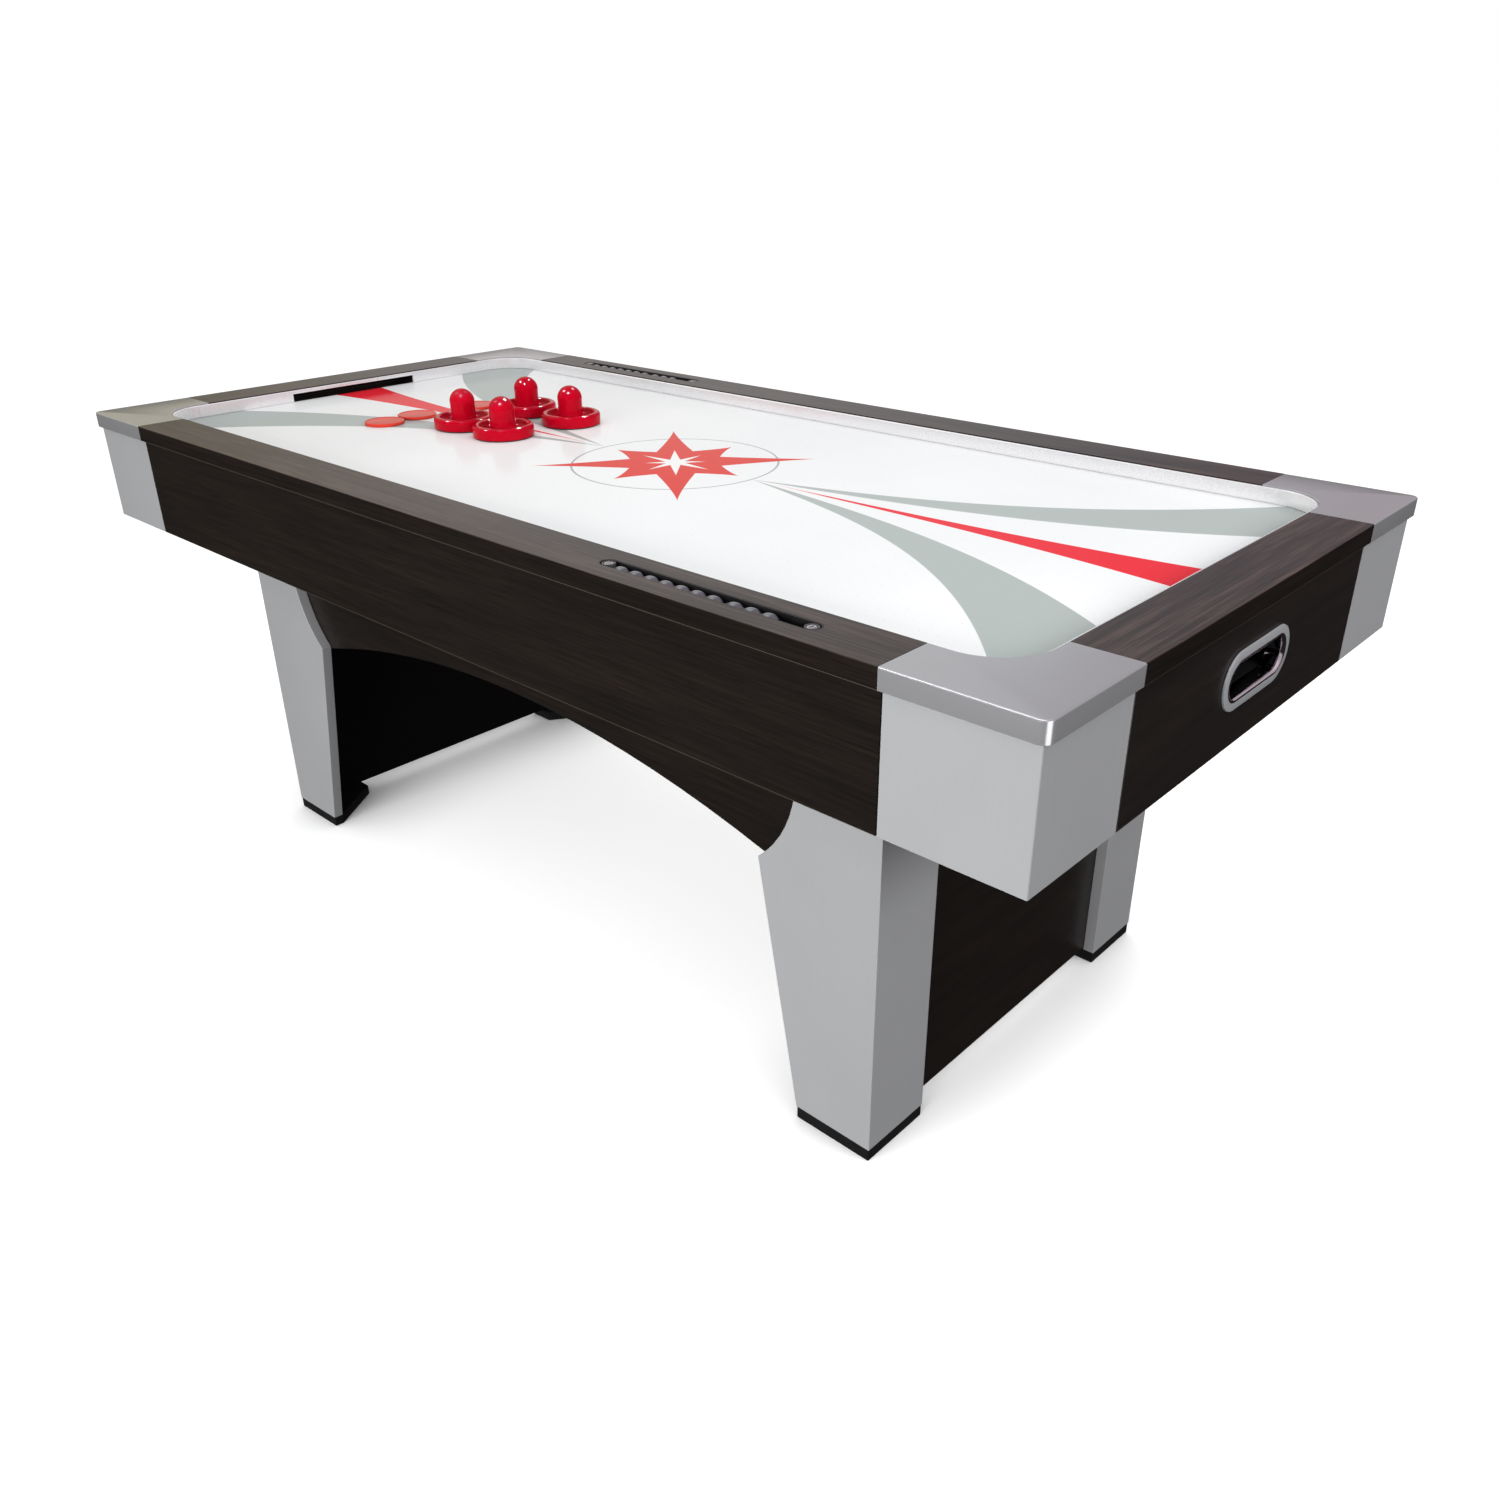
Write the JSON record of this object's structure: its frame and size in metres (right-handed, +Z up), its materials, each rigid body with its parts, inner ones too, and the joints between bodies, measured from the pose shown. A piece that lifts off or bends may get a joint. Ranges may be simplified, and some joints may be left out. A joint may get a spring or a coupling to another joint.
{
  "type": "air hockey table",
  "caption": "Air hockey table: dark wood-grain cabinet, silver corners and tapered legs, aluminium-walled white playfield, goal slots, puck returns, bead scorers, strikers and pucks.",
  "frame": {"origin": "on the floor under the middle of the table", "axes": "+X along the table towards its right end, +Y across it towards the far side, +Z up"},
  "size_m": [2.134, 1.041, 0.8823],
  "materials": {
    "dark_laminate": "espresso wood-grain laminate, satin, on board",
    "silver_cap": "satin silver",
    "silver_board": "silver foil on board, satin",
    "wall_aluminium": "satin extrusion",
    "playfield_laminate": "glossy white laminate with grey and red bands",
    "raw_board": "unpainted board",
    "ring_chrome": "bright with a satin front",
    "bead_chrome": "metallised, bright",
    "black_plastic": "black",
    "motor_steel": "plain steel can",
    "red_plastic": "high gloss red",
    "felt": "black felt",
    "foot_rubber": "black"
  },
  "bodies": {
    "table": {"apron_far": "dark_laminate", "apron_left": "dark_laminate", "apron_near": "dark_laminate", "apron_right": "dark_laminate", "arch_board_far": "dark_laminate", "arch_board_near": "dark_laminate", "blower_housing": "black_plastic", "blower_motor": "motor_steel", "corner_block_far_left": "silver_board", "corner_block_far_right": "silver_board", "corner_block_near_left": "silver_board", "corner_block_near_right": "silver_board", "corner_cap_far_left": "silver_cap", "corner_cap_far_right": "silver_cap", "corner_cap_near_left": "silver_cap", "corner_cap_near_right": "silver_cap", "end_panel_left": "dark_laminate", "end_panel_right": "dark_laminate", "end_wall_left": "wall_aluminium", "end_wall_right": "wall_aluminium", "foot_pad_far_left": "foot_rubber", "foot_pad_far_right": "foot_rubber", "foot_pad_near_left": "foot_rubber", "foot_pad_near_right": "foot_rubber", "leg_far_left": "silver_board", "leg_far_right": "silver_board", "leg_near_left": "silver_board", "leg_near_right": "silver_board", "playfield": "playfield_laminate", "plenum_tray": "raw_board", "pocket_ring_left": "ring_chrome", "pocket_ring_right": "ring_chrome", "power_inlet": "black_plastic", "puck_tray_left": "black_plastic", "puck_tray_right": "black_plastic", "rail_cap_far": "dark_laminate", "rail_cap_left": "dark_laminate", "rail_cap_near": "dark_laminate", "rail_cap_right": "dark_laminate", "scorer_track_far": "black_plastic", "scorer_track_near": "black_plastic", "side_wall_far": "wall_aluminium", "side_wall_near": "wall_aluminium"},
    "striker_front": {"striker_front": "red_plastic", "felt_front": "felt"},
    "striker_right": {"striker_right": "red_plastic", "felt_right": "felt"},
    "striker_back": {"striker_back": "red_plastic", "felt_back": "felt"},
    "striker_left": {"striker_left": "red_plastic", "felt_left": "felt"},
    "puck_1": {"puck_1": "red_plastic"},
    "puck_2": {"puck_2": "red_plastic"},
    "puck_3": {"puck_3": "red_plastic"},
    "score_beads_long_near": {"score_beads_long_near": "bead_chrome"},
    "score_beads_short_near": {"score_beads_short_near": "bead_chrome"},
    "score_beads_long_far": {"score_beads_long_far": "bead_chrome"},
    "score_beads_short_far": {"score_beads_short_far": "bead_chrome"},
    "blower_impeller": {"blower_impeller": "black_plastic"},
    "switch_rocker": {"switch_rocker": "black_plastic"}
  },
  "joints": [
    {"name": "striker_front_glide", "type": "slide", "parent": "table", "child": "striker_front", "axis": [1, 0, 0], "range_m": [0, 1.289]},
    {"name": "striker_right_glide", "type": "slide", "parent": "table", "child": "striker_right", "axis": [1, 0, 0], "range_m": [0, 1.275]},
    {"name": "striker_back_glide", "type": "slide", "parent": "table", "child": "striker_back", "axis": [0, 1, 0], "range_m": [0, 0.267]},
    {"name": "striker_left_glide", "type": "slide", "parent": "table", "child": "striker_left", "axis": [0, 1, 0], "range_m": [-0.316, 0]},
    {"name": "puck_1_glide", "type": "slide", "parent": "table", "child": "puck_1", "axis": [1, 0, 0], "range_m": [-0.293, 0]},
    {"name": "puck_2_glide", "type": "slide", "parent": "table", "child": "puck_2", "axis": [1, 0, 0], "range_m": [-0.285, 0]},
    {"name": "puck_3_glide", "type": "slide", "parent": "table", "child": "puck_3", "axis": [1, 0, 0], "range_m": [-0.299, 0]},
    {"name": "long_train_near_slide", "type": "slide", "parent": "table", "child": "score_beads_long_near", "axis": [1, 0, 0], "range_m": [0, 0.0062]},
    {"name": "short_train_near_slide", "type": "slide", "parent": "table", "child": "score_beads_short_near", "axis": [1, 0, 0], "range_m": [0, 0.0395]},
    {"name": "long_train_far_slide", "type": "slide", "parent": "table", "child": "score_beads_long_far", "axis": [1, 0, 0], "range_m": [0, 0.0062]},
    {"name": "short_train_far_slide", "type": "slide", "parent": "table", "child": "score_beads_short_far", "axis": [1, 0, 0], "range_m": [0, 0.0395]},
    {"name": "impeller_spin", "type": "hinge", "parent": "table", "child": "blower_impeller", "pos_m": [0, 0, 0.7058], "axis": [0, 0, 1], "continuous": true},
    {"name": "rocker_tilt", "type": "hinge", "parent": "table", "child": "switch_rocker", "pos_m": [0.4385, 0.4334, 0.7158], "axis": [0, -1, 0], "range_deg": [0, 24]}
  ]
}
